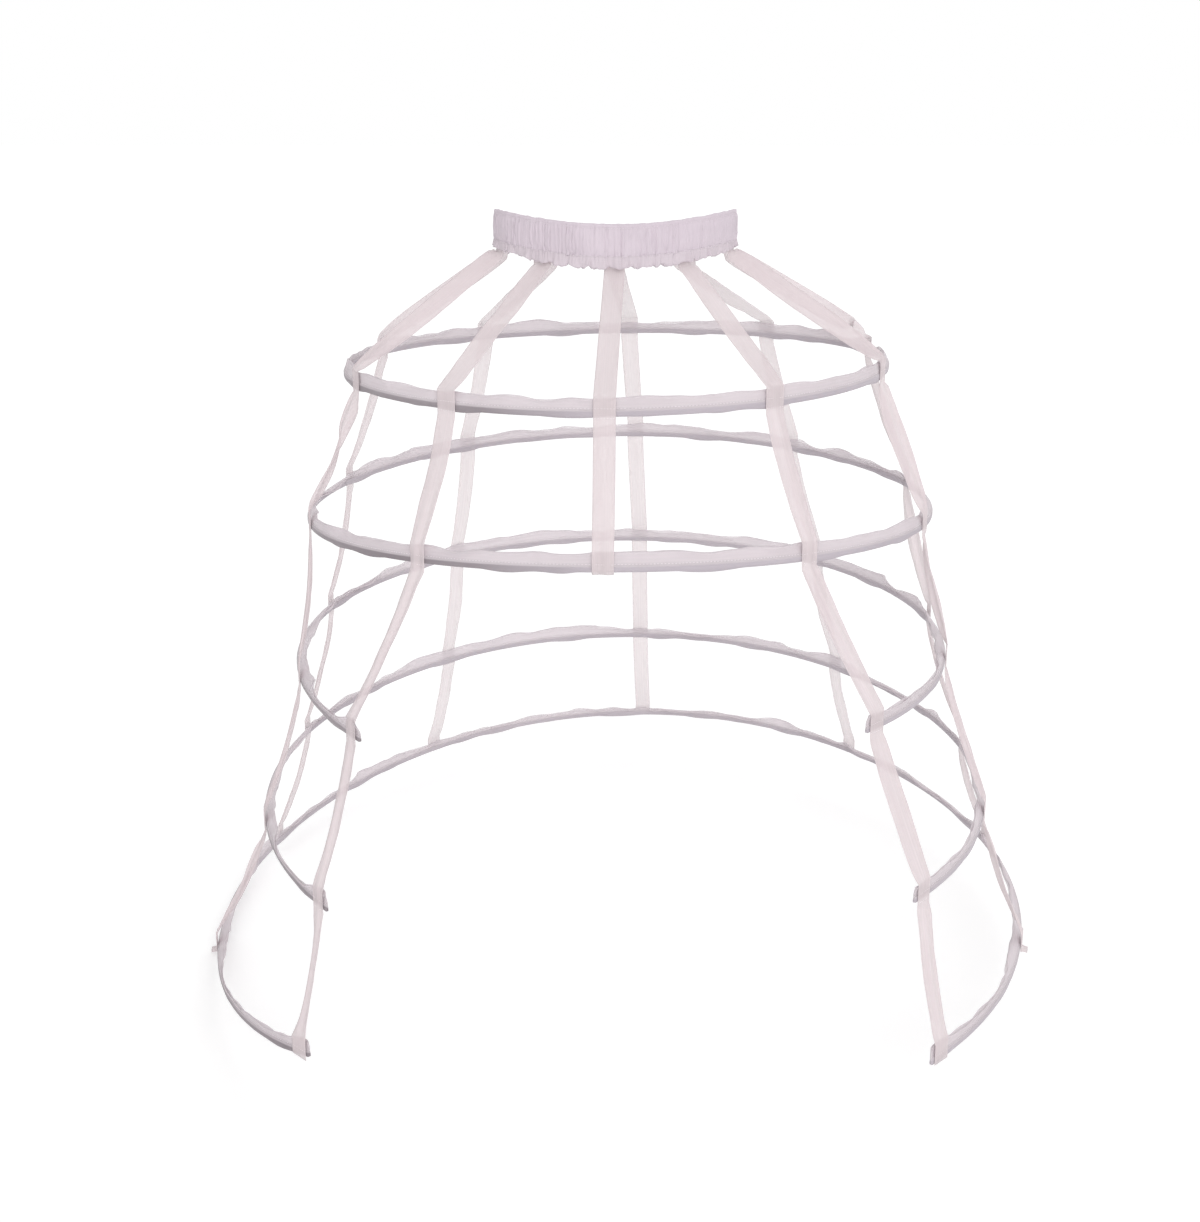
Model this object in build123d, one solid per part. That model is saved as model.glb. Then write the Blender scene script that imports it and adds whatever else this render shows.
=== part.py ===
# Crinoline cage: an elastic waistband, ten ribbon straps and five hoops in ribbon casings
#
# Millimetres. The origin is the middle of the waist opening at the height of the band's
# mean top edge, +Z is up, the front of the cage faces -Y and the wearer's left is +X.
# Angles run round the cage from its front, positive towards +X.

import os
from math import atan2, cos, degrees, pi, radians, sin

from build123d import *

# Waistband
WAIST_HALF_WIDTH = 124.0
WAIST_HALF_DEPTH = 96.0
BAND_HEIGHT = 33.0
HEADER_HEIGHT = 4.0
SIDE_RISE = 18.0
BACK_DROP = 10.0
OUTER_PLY = 1.6
INNER_PLY = 0.8
POCKET_WIDTH = 3.4
GATHERS = 100
GATHER_DEPTH = 1.8
FRILL_HEIGHT = 9.0
FRILL_WAVES = 45
FRILL_DEPTH = 3.2
FRILL_PLY = 1.0
ELASTIC_THICKNESS = 2.0
ELASTIC_HEIGHT = 19.7
RING_SIDES = 40
CLEAR = 0.3

# Straps
STRAP_WIDTH = 20.0
STRAP_THICKNESS = 0.8
STRAP_TUCK = 6.0
STRAP_TAIL = 5.0
STRAPS = 10

# Hoop bones and the casings that hold them
BONE_HEIGHT = 4.4
BONE_THICKNESS = 1.4
SLEEVE_CLEAR = 0.15
SLEEVE_WALL = 0.35
SLEEVE_LENGTH = 20.0
TIP_LENGTH = 13.0
TIP_WALL = 2.0
CASING_WALL = 0.5
FLANGE_HEIGHT = 9.8
FLANGE_THICKNESS = 1.2
FLANGE_LEAN = 48.0
PUCKER = 0.7
PANEL_STEPS = 6
END_OVERLAP = 11.0
SEAM_GAP = 0.5
BONE_GAP = 1.0

CHANNEL_THICKNESS = BONE_THICKNESS + 2 * (SLEEVE_CLEAR + SLEEVE_WALL + CLEAR)
CHANNEL_HEIGHT = BONE_HEIGHT + 2 * (SLEEVE_CLEAR + SLEEVE_WALL + CLEAR)
CASING_HALF = CHANNEL_THICKNESS / 2 + CASING_WALL
CASING_FOOT = CHANNEL_HEIGHT / 2 + CASING_WALL
STRAP_OFFSET = CASING_HALF + CLEAR + STRAP_THICKNESS / 2

UP = Vector(0, 0, 1)


class Hoop:
    """One hoop: an ellipse in plan that hangs on the straps, tilted and a little saddled."""

    def __init__(self, name, half_width, half_depth, drop, shift, tilt, saddle, crossings, end_lift=0.0, end_tuck=0.0):
        self.name = name
        self.half_width = half_width
        self.half_depth = half_depth
        self.drop = drop
        self.shift = shift
        self.tilt = tilt
        self.saddle = saddle
        self.crossings = crossings
        self.end_lift = end_lift
        self.end_tuck = end_tuck
        self.closed = "front" in crossings

    def point(self, angle):
        """A point of the bone's centre line."""
        near_end = min(max((wrap(angle) + 85.0) / 42.0, 0.0), 1.3) ** 2 if -90 < wrap(angle) < -20 else 0.0
        reach = 1 + self.end_tuck * near_end
        x = self.half_width * reach * sin(radians(angle))
        y = -self.half_depth * reach * cos(radians(angle))
        lift = x * self.tilt[0] + y * self.tilt[1] + self.saddle * cos(radians(2 * angle)) + self.end_lift * near_end
        return Vector(self.shift[0] + x, self.shift[1] + y, lift - self.drop)

    def along(self, angle):
        """The hoop's direction in plan, towards larger angles."""
        step = self.point(angle + 0.5) - self.point(angle - 0.5)
        return Vector(step.X, step.Y, 0).normalized()

    def outward(self, angle):
        """The horizontal direction away from the inside of the cage."""
        along = self.along(angle)
        return Vector(along.Y, -along.X, 0)

    def stations(self):
        """Angles of the casing's sections, each panel between two straps in equal steps."""
        order = sorted(a % 360 for a in self.crossings.values())
        if self.closed:
            joint = self.crossings["rear_side_right"] % 360
            order = [a for a in order if a >= joint] + [a + 360 for a in order if a < joint]
            order.append(joint + 360)
            margin = -self.turn(SEAM_GAP / 2)
        else:
            margin = self.turn(END_OVERLAP)
        result = [order[0]]
        for low, high in zip(order, order[1:]):
            result += [low + (high - low) * i / PANEL_STEPS for i in range(1, PANEL_STEPS + 1)]
        return [result[0] - margin] + result[1:-1] + [result[-1] + margin]

    def turn(self, length):
        """The angle that a short length takes up along the hoop."""
        return degrees(2 * length / (self.half_width + self.half_depth))


def wrap(angle):
    """The same angle between -180 and 180 degrees."""
    return (angle + 180) % 360 - 180


HOOPS = [
    Hoop("hoop1", 280.5, 272.4, 150.6, (1.0, -0.9), (0.0159, -0.0117), -1.6, {
        "front": -1.6, "front_right": 30.8, "side_right": 68.1, "rear_side_right": 104.4, "rear_right": 141.4,
        "rear": 177.0, "rear_left": -146.2, "rear_side_left": -112.5, "side_left": -63.1, "front_left": -32.5}),
    Hoop("hoop2", 331.1, 312.4, 296.5, (4.9, 11.7), (0.0131, -0.0185), 7.2, {
        "front": -2.2, "front_right": 31.6, "side_right": 66.7, "rear_side_right": 104.1, "rear_right": 140.9,
        "rear": 176.7, "rear_left": -145.3, "rear_side_left": -110.7, "side_left": -71.4, "front_left": -33.5}),
    Hoop("hoop3", 347.7, 361.1, 448.9, (6.7, 0.7), (0.0111, 0.0071), 1.7, {
        "front_right": 43.4, "side_right": 76.6, "rear_side_right": 97.6, "rear_right": 135.2, "rear": 176.1,
        "rear_left": -143.1, "rear_side_left": -105.5, "side_left": -69.1, "front_left": -45.1},
        end_lift=-8.2, end_tuck=0.021),
    Hoop("hoop4", 390.6, 413.0, 604.0, (10.6, -9.6), (0.0168, 0.0134), 3.4, {
        "front_right": 45.9, "side_right": 73.8, "rear_side_right": 98.0, "rear_right": 135.6, "rear": 176.7,
        "rear_left": -143.6, "rear_side_left": -106.0, "side_left": -72.5, "front_left": -46.4},
        end_lift=-4.4, end_tuck=0.012),
    Hoop("hoop5", 446.3, 464.9, 751.3, (4.3, -3.7), (0.0457, 0.0148), 10.4, {
        "front_right": 42.5, "side_right": 72.0, "rear_side_right": 101.7, "rear_right": 136.1, "rear": 175.7,
        "rear_left": -145.0, "rear_side_left": -109.3, "side_left": -78.4, "front_left": -41.8},
        end_lift=23.5, end_tuck=-0.011),
]

STRAP_NAMES = ["front", "front_right", "side_right", "rear_side_right", "rear_right",
               "rear", "rear_left", "rear_side_left", "side_left", "front_left"]


def save(shape, name, label):
    """Write one node to its STEP file."""
    shape.label = label
    export_step(shape, f"parts/{name}.step")


def facet(*corners):
    """A flat face through three or four corners."""
    return Face(Wire.make_polygon(corners, close=True))


def flat(a, b, c, d):
    """Whether four corners lie in one plane."""
    return abs((b - a).cross(c - a).dot(d - a)) < 1e-7


def strip(outer, inner):
    """Faces between two closed outlines; the first may have a whole multiple of the second's corners."""
    multiple = len(outer) // len(inner)
    faces = []
    for i, corner in enumerate(inner):
        following = inner[(i + 1) % len(inner)]
        edge = [outer[(i * multiple + j) % len(outer)] for j in range(multiple + 1)]
        if multiple == 1 and flat(edge[0], edge[1], following, corner):
            faces.append(facet(edge[0], edge[1], following, corner))
            continue
        faces += [facet(low, high, corner) for low, high in zip(edge, edge[1:])]
        faces.append(facet(edge[-1], following, corner))
    return faces


def ring_solid(outlines):
    """A closed ring whose cross-section has one corner on each outline."""
    faces = []
    for one, other in zip(outlines, outlines[1:] + outlines[:1]):
        faces += strip(one, other) if len(one) >= len(other) else strip(other, one)
    return Solid(Shell(faces))


def loft_through(sections, channel=()):
    """A solid with flat facets through a row of like polygons, with an open channel if one is given."""
    faces = []
    for low, high in zip(sections, sections[1:]):
        faces += strip(low, high)
    for low, high in zip(channel, channel[1:]):
        faces += strip(low, high)
    for end in (0, -1):
        holes = [Wire.make_polygon(channel[end], close=True)] if channel else []
        faces.append(Face(Wire.make_polygon(sections[end], close=True), holes))
    return Solid(Shell(faces))


def blend(low, high, part):
    """The polygon that lies between two neighbouring sections."""
    return [a + (b - a) * part for a, b in zip(low, high)]


# Waistband
def band_height(x, y):
    """Height of the band's top edge: it rises to the sides and falls towards the back."""
    rise = SIDE_RISE * (x / WAIST_HALF_WIDTH) ** 2 - SIDE_RISE / 2
    return rise - y * BACK_DROP / WAIST_HALF_DEPTH


def outline(inset, below, sides=RING_SIDES, depth=0.0):
    """A closed line round the band, at a distance inside its mean outer face and below its top edge.

    With a depth, every other corner stands out, as the folds of gathered cloth do.
    """
    points = []
    for i in range(sides):
        turn = 2 * pi * (i / sides + 0.5 / RING_SIDES)
        fold = (0.5 if i % 2 else -0.5) * depth * (1 + 0.25 * sin(1.7 * i))
        x = (WAIST_HALF_WIDTH - inset + fold) * sin(turn)
        y = -(WAIST_HALF_DEPTH - inset + fold) * cos(turn)
        points.append(Vector(x, y, band_height(x, y) - below))
    return points


os.makedirs("parts", exist_ok=True)

pocket_outer = OUTER_PLY
pocket_inner = OUTER_PLY + POCKET_WIDTH
lining = pocket_inner + INNER_PLY

waist_casing = ring_solid([
    outline(0, BAND_HEIGHT, 2 * GATHERS, GATHER_DEPTH),
    outline(0, HEADER_HEIGHT, 2 * GATHERS, GATHER_DEPTH),
    outline(-0.2, HEADER_HEIGHT),
    outline(0, 0),
    outline(lining, 0),
    outline(lining, BAND_HEIGHT),
    outline(pocket_inner, BAND_HEIGHT),
    outline(pocket_inner, HEADER_HEIGHT),
    outline(pocket_outer, HEADER_HEIGHT),
    outline(pocket_outer, BAND_HEIGHT)])
save(waist_casing, "waist_casing", "waist casing")

elastic_outer = pocket_outer + CLEAR
elastic_inner = elastic_outer + ELASTIC_THICKNESS
elastic_top = HEADER_HEIGHT + CLEAR
waist_elastic = ring_solid([
    outline(elastic_outer, elastic_top),
    outline(elastic_inner, elastic_top),
    outline(elastic_inner, elastic_top + ELASTIC_HEIGHT),
    outline(elastic_outer, elastic_top + ELASTIC_HEIGHT)])
save(waist_elastic, "waist_elastic", "waist elastic")

folds = 2 * FRILL_WAVES
frill_top = BAND_HEIGHT + CLEAR
frill_hem = frill_top + FRILL_HEIGHT
waist_frill = ring_solid([
    outline(-FRILL_PLY, frill_top, folds, FRILL_DEPTH * 0.4),
    outline(0, frill_top, folds, FRILL_DEPTH * 0.4),
    outline(-0.4, frill_hem, folds, FRILL_DEPTH),
    outline(-0.4 - FRILL_PLY, frill_hem, folds, FRILL_DEPTH)])
save(waist_frill, "waist_frill", "waist frill")


# Hoops
def channel_section(hoop, angle, half_thickness, half_height):
    """A rectangle across the hoop, centred on the bone."""
    centre = hoop.point(angle)
    out = hoop.outward(angle)
    corners = [(half_thickness, -half_height), (half_thickness, half_height),
               (-half_thickness, half_height), (-half_thickness, -half_height)]
    return [centre + out * o + UP * u for o, u in corners]


def flange_lean(hoop, angle):
    """How far the casing's flange leans into the cage: upright at each strap, free between them."""
    order = sorted(a % 360 for a in hoop.crossings.values())
    order = [order[-1] - 360] + order + [order[0] + 360]
    turn = angle % 360
    for panel, (low, high) in enumerate(zip(order, order[1:])):
        if low <= turn <= high:
            share = (turn - low) / (high - low)
            strength = 0.5 + 0.5 * sin(2.4 * panel + 1.9 * HOOPS.index(hoop))
            return FLANGE_LEAN * strength * sin(pi * share) ** 2
    return 0.0


def casing_section(hoop, angle, index):
    """The folded ribbon: a tube round the bone below, and a flange of two plies above it."""
    centre = hoop.point(angle)
    out = hoop.outward(angle)
    lean = radians(flange_lean(hoop, angle))
    height = FLANGE_HEIGHT + (PUCKER if index % 2 else -PUCKER)
    root = (CASING_HALF, CASING_FOOT)
    top = (root[0] - height * sin(lean), root[1] + height * cos(lean))
    back = (top[0] - FLANGE_THICKNESS * cos(lean), top[1] - FLANGE_THICKNESS * sin(lean))
    corners = [(CASING_HALF, -CASING_FOOT), root, top, back, (-CASING_HALF, CASING_FOOT), (-CASING_HALF, -CASING_FOOT)]
    return [centre + out * o + UP * u for o, u in corners]


def run(sections, start, end):
    """The sections from a fractional place to another along the hoop."""
    first = int(start)
    last = int(end)
    inner = [i for i in range(first + 1, last + 1) if start + 0.001 < i < end - 0.001]
    result = [blend(sections[first], sections[first + 1], start - first)]
    result += [sections[i] for i in inner]
    if end - last < 0.001:
        result.append(sections[last])
    else:
        result.append(blend(sections[last], sections[last + 1], end - last))
    return result


def block_frame(sections, place):
    """A plane across the hoop at a fractional place, with its X axis along the bone."""
    first = int(place)
    low = sum(sections[first], Vector()) * 0.25
    high = sum(sections[first + 1], Vector()) * 0.25
    return Plane(low + (high - low) * (place - first), x_dir=high - low, z_dir=up_from(high - low))


def up_from(direction):
    """The direction nearest to +Z that is square to the given one."""
    unit = direction.normalized()
    return (UP - unit * unit.dot(UP)).normalized()


def sleeve(frame, length, closed_end):
    """A folded metal or plastic sleeve over the bone, with one end closed for a tip."""
    thickness = BONE_THICKNESS + 2 * (SLEEVE_CLEAR + SLEEVE_WALL)
    height = BONE_HEIGHT + 2 * (SLEEVE_CLEAR + SLEEVE_WALL)
    body = Box(length, thickness, height)
    slot_length = length - TIP_WALL if closed_end else length + 2
    slot = Box(slot_length, thickness - 2 * SLEEVE_WALL, height - 2 * SLEEVE_WALL)
    if closed_end:
        body = chamfer(body.edges().filter_by(Axis.Y).group_by(Axis.X)[-1], SLEEVE_WALL * 2)
        slot = Pos(-TIP_WALL / 2 - 0.01, 0, 0) * slot
    return frame * (body - slot)


for hoop in HOOPS:
    angles = hoop.stations()
    count = len(angles) - 1
    bone_sections = [channel_section(hoop, a, BONE_THICKNESS / 2, BONE_HEIGHT / 2) for a in angles]
    channel_sections = [channel_section(hoop, a, CHANNEL_THICKNESS / 2, CHANNEL_HEIGHT / 2) for a in angles]
    casing_sections = [casing_section(hoop, a, i) for i, a in enumerate(angles)]
    chord = [(hoop.point(b) - hoop.point(a)).length for a, b in zip(angles, angles[1:])]

    if hoop.closed:
        joint = BONE_GAP / 2 / chord[0]
        around = bone_sections[:-1] + bone_sections[:2]
        meeting = hoop.crossings["rear_side_right"]
        around[0] = channel_section(hoop, meeting, BONE_THICKNESS / 2, BONE_HEIGHT / 2)
        around[count] = around[0]
        bone = loft_through(run(around, 0.5 + joint, count + 0.5 - joint))
        frame = block_frame(around, 0.5)
        save(sleeve(frame, SLEEVE_LENGTH, False), f"{hoop.name}_joiner", f"{hoop.name} joiner")
    else:
        inset = CLEAR + TIP_WALL + 0.6
        bone = loft_through(run(bone_sections, inset / chord[0], count - inset / chord[-1]))
        place = (CLEAR + TIP_LENGTH / 2) / chord[0]
        start = block_frame(bone_sections, place)
        start = Plane(start.origin, x_dir=-start.x_dir, z_dir=start.z_dir)
        end = block_frame(bone_sections, count - (CLEAR + TIP_LENGTH / 2) / chord[-1])
        save(sleeve(start, TIP_LENGTH, True), f"{hoop.name}_tip_right", f"{hoop.name} tip right")
        save(sleeve(end, TIP_LENGTH, True), f"{hoop.name}_tip_left", f"{hoop.name} tip left")
    save(bone, f"{hoop.name}_bone", f"{hoop.name} bone")
    save(loft_through(casing_sections, channel_sections), f"{hoop.name}_casing", f"{hoop.name} casing")


# Straps
def strap_section(centre, across, outward):
    """A rectangle across the ribbon."""
    wide = across.normalized() * (STRAP_WIDTH / 2)
    thick = outward.normalized() * (STRAP_THICKNESS / 2)
    return [centre - wide - thick, centre + wide - thick, centre + wide + thick, centre - wide + thick]


def strap_stations(name, index):
    """Centre, width direction and outward direction of each section, from the waist down."""
    angle = 2 * pi * index / STRAPS
    inset = pocket_outer + POCKET_WIDTH / 2
    x = (WAIST_HALF_WIDTH - inset) * sin(angle)
    y = -(WAIST_HALF_DEPTH - inset) * cos(angle)
    normal = Vector(sin(angle) / WAIST_HALF_WIDTH, -cos(angle) / WAIST_HALF_DEPTH, 0).normalized()
    across = Vector(-normal.Y, normal.X, 0)
    level = band_height(x, y) - BAND_HEIGHT
    rows = [[Vector(x, y, level + STRAP_TUCK), across, normal],
            [Vector(x, y, level - FRILL_HEIGHT - 3.0), across, normal]]
    for hoop in HOOPS:
        if name not in hoop.crossings:
            break
        turn = hoop.crossings[name]
        out = hoop.outward(turn)
        centre = hoop.point(turn) + out * STRAP_OFFSET
        above = CASING_FOOT + FLANGE_HEIGHT + PUCKER + 1.5
        below = CASING_FOOT + STRAP_TAIL
        rows.append([centre + UP * above, hoop.along(turn), out])
        rows.append([centre - UP * below, hoop.along(turn), out])
    return rows


def strap(name, index):
    """A ribbon that hangs straight from hoop to hoop and lies flat on each casing."""
    rows = strap_stations(name, index)
    points = [row[0] for row in rows]
    for i in range(1, len(rows) - 1):
        before = (points[i] - points[i - 1]).normalized()
        after = (points[i + 1] - points[i]).normalized()
        path = (before + after).normalized()
        across = rows[i][1]
        rows[i][2] = across.cross(path) if across.cross(path).dot(rows[i][2]) > 0 else path.cross(across)
    return loft_through([strap_section(*row) for row in rows])


for index, name in enumerate(STRAP_NAMES):
    save(strap(name, index), f"strap_{name}", f"strap {name.replace('_', ' ')}")
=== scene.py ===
"""Dresses the packed crinoline cage: sheer ribbon, cased bones and a gathered waistband."""

from math import acos, atan2, ceil, cos, degrees, exp, log, pi, radians, sin

import bmesh
import bpy
from bpy.props import FloatProperty, FloatVectorProperty, IntProperty, PointerProperty
from mathutils import Matrix, Vector, noise


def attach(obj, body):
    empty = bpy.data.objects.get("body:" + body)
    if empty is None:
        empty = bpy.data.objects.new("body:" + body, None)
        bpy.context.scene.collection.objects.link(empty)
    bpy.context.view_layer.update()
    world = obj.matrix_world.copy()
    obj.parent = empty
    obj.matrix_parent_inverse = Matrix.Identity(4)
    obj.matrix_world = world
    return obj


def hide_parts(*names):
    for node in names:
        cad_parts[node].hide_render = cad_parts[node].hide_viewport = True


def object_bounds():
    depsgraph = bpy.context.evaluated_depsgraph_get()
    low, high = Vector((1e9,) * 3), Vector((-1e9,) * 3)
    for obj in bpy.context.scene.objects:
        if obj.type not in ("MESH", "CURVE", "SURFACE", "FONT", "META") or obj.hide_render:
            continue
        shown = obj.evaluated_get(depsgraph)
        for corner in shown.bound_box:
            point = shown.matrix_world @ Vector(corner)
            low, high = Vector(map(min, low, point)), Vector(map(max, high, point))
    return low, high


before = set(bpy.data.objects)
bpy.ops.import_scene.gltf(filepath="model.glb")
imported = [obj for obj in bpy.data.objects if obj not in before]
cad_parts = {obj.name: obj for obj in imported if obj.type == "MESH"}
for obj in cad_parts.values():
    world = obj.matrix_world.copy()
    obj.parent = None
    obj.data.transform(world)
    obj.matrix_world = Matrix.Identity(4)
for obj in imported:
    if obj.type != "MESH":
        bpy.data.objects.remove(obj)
CAD_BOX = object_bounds()

bl_info = {
    "name": "Crinoline Cage",
    "version": (1, 0, 0),
    "blender": (4, 5, 0),
    "location": "View3D > Sidebar > Crinoline",
    "description": "Builds the ribbons, hoops and waistband of a crinoline cage around its packed solids",
    "category": "Object",
}

# Directions, and the hoops' unit; all other lengths are in metres
UP = Vector((0, 0, 1))
FRONT = Vector((0, -1, 0.15))
MM = 0.001

# Waistband sizes, as in the solids
WAIST_HALF_WIDTH = 0.124
WAIST_HALF_DEPTH = 0.096
BAND_HEIGHT = 0.033
SIDE_RISE = 0.018
BACK_DROP = 0.010
POCKET_MIDDLE = 0.0033
FRILL_HEIGHT = 0.009

# Waistband cloth: its gathers, its centre seam and calmer stretch in degrees, and its sections
GATHER_COUNT = 208
GATHER_SECTIONS = 6
SEAM_ANGLE = 3.2
SEAM_SPREAD = 0.55
CALM_FROM = 31.5
CALM_TO = 74.5
BAND_CLOTH = 0.0003
FRILL_CLOTH = 0.00025
FRILL_TOP = 0.0308
FRILL_EXTRA = 0.0026
STITCH_SECTIONS = 400
ELASTIC_SECTIONS = 240

# Hoops and straps, as in the solids
BONE_HEIGHT = 0.0044
BONE_THICKNESS = 0.0014
SLEEVE_WALL = 0.00035
SLEEVE_CLEAR = 0.00015
SLEEVE_LENGTH = 0.020
TIP_LENGTH = 0.013
TIP_INSET = 0.0003
BONE_INSET = 0.0029
BONE_GAP = 0.001
SEAM_GAP = 0.0005
CASING_FOOT = 0.0035
STRAP_TUCK = 0.006
STRAP_TAIL = 0.005
STRAP_WIDTH = 0.020
PANEL_STEPS = 6
END_OVERLAP = 0.011
LIFT_FROM = -85.0
LIFT_SPAN = 42.0

# Casing cloth: its tube, its two-ply flange, and how a strap holds it up
CLOTH = 0.00022
CASING_STEP = 0.0032
TUBE_HALF = 0.00150
CASING_FLAT = 0.038
FLANGE_ROOT = 0.0036
FLANGE_HEIGHT = 0.0100
FLANGE_SHARES = (0.2, 0.4, 0.6, 0.8, 1.0)
PLY_GAP = 0.00016
SEAM_OUT = 0.0006
RAW_END = 0.0030
HELD_LENGTH = 0.019
HELD_STAND = 0.85
SIDE_HELD_STAND = 0.45
SIDE_FROM = 60
SIDE_TO = 86
SIDE_LEAN_SPAN = 15
JOINT_HEIGHT = 0.0035
JOINT_LENGTH = 0.007
BONE_STEP = 0.006
SLEEVE_STEP = 0.002

# Strap cloth
STRAP_STEP = 0.0055
WAIST_SECTIONS = 8
STRAP_OFFSET = 0.0024
SIDE_STRAP_RAISE = 0.006
FRILL_CLEAR = 0.003
FLANGE_CLEAR = 0.0016
END_TAB = 0.0065
TAB_DROP = 0.001
TAB_OPEN = 0.6
BOW = 0.0035
TOP_BOW = 0.0005
CREASES = 1.5
ACROSS = 16
TACK_LEVELS = (0.0045, -0.0042)
TACK_STEP = 0.0014

# Spacing of the ribbon's threads, and the share of its width in each denser edge
WARP = 0.0005
SELVEDGE = 0.05

# Camera and frame
IMAGE_WIDTH = 1200
IMAGE_HEIGHT = 1222
FOCAL_PIXELS = 1541.27
CENTRE_ROW = 520.0
SENSOR = 36.0
CAMERA_PLACE = (0.01182, -1.60380, 0.11714)
CAMERA_TILT = 0.26660
CAMERA_TURN = 0.01706


def limit(value, low, high):
    """The value, kept between two others."""
    return min(max(value, low), high)


def smooth(share):
    """A share from 0 to 1 that starts and ends gently."""
    return share * share * (3 - 2 * share)


def wrap(angle):
    """The same angle between -180 and 180 degrees."""
    return (angle + 180) % 360 - 180


class Hoop:
    """One hoop's line: an ellipse in plan, tilted and a little saddled, and where each strap crosses it."""

    def __init__(self, name, half_width, half_depth, drop, shift, tilt, saddle, crossings, stands,
                 end_lift=0.0, end_tuck=0.0, end_lean=(0.0, 0.0)):
        self.name = name
        self.half_width = half_width * MM
        self.half_depth = half_depth * MM
        self.drop = drop * MM
        self.shift = Vector((*shift, 0)) * MM
        self.tilt = tilt
        self.saddle = saddle * MM
        self.crossings = dict(zip(STRAP_NAMES[-len(crossings):], crossings))
        self.order = sorted(a % 360 for a in self.crossings.values())
        keys = list(stands.items())
        self.stands = [(keys[-1][0] - 360, keys[-1][1]), *keys, (keys[0][0] + 360, keys[0][1])]
        self.end_lift = end_lift * MM
        self.end_tuck = end_tuck
        self.end_lean = end_lean
        self.closed = "front" in self.crossings

    def point(self, angle):
        """A point of the bone's centre line, which is lifted and tucked in at an open hoop's left end."""
        turn = wrap(angle)
        near_end = limit((turn - LIFT_FROM) / LIFT_SPAN, 0.0, 1.3) ** 2 if -90 < turn < -20 else 0.0
        reach = 1 + self.end_tuck * near_end
        x = self.half_width * reach * sin(radians(angle))
        y = -self.half_depth * reach * cos(radians(angle))
        lift = x * self.tilt[0] + y * self.tilt[1]
        lift += self.saddle * cos(radians(2 * angle)) + self.end_lift * near_end
        return self.shift + Vector((x, y, lift - self.drop))

    def along(self, angle):
        """The hoop's direction in plan, towards larger angles."""
        step = self.point(angle + 0.5) - self.point(angle - 0.5)
        return Vector((step.x, step.y, 0)).normalized()

    def outward(self, angle):
        """The horizontal direction away from the inside of the cage."""
        along = self.along(angle)
        return Vector((along.y, -along.x, 0))

    def turn(self, length):
        """The angle that a short length takes up along the hoop."""
        return degrees(2 * length / (self.half_width + self.half_depth))

    def length(self, first, last):
        """Roughly how long the hoop is between two angles."""
        return (self.half_width + self.half_depth) / 2 * radians(last - first)

    def ends(self):
        """First and last angle of the casing."""
        if self.closed:
            joint = self.crossings["rear_side_right"] % 360
            margin = self.turn(SEAM_GAP / 2)
            return joint + margin, joint + 360 - margin
        margin = self.turn(END_OVERLAP)
        return self.order[0] - margin, self.order[-1] + margin

    def bone_ends(self):
        """First and last angle of the bone."""
        if self.closed:
            joint = self.joint()
            margin = self.turn(BONE_GAP / 2)
            return joint + margin, joint + 360 - margin
        first, last = self.ends()
        margin = self.turn(BONE_INSET)
        return first + margin, last - margin

    def joint(self):
        """The angle at which a closed hoop's bone meets itself."""
        first = self.crossings["rear_side_right"] % 360
        following = min(a for a in self.order if a > first)
        return first + (following - first) / PANEL_STEPS / 2

    def stand(self, angle):
        """How upright the casing's free edge stands: 1 is upright, 0 lies flat into the cage."""
        turn = wrap(angle)
        for (low, one), (high, other) in zip(self.stands, self.stands[1:]):
            if low <= turn <= high:
                return one + (other - one) * smooth((turn - low) / (high - low))
        return 1.0


STRAP_NAMES = ["front", "front_right", "side_right", "rear_side_right", "rear_right",
               "rear", "rear_left", "rear_side_left", "side_left", "front_left"]

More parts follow.
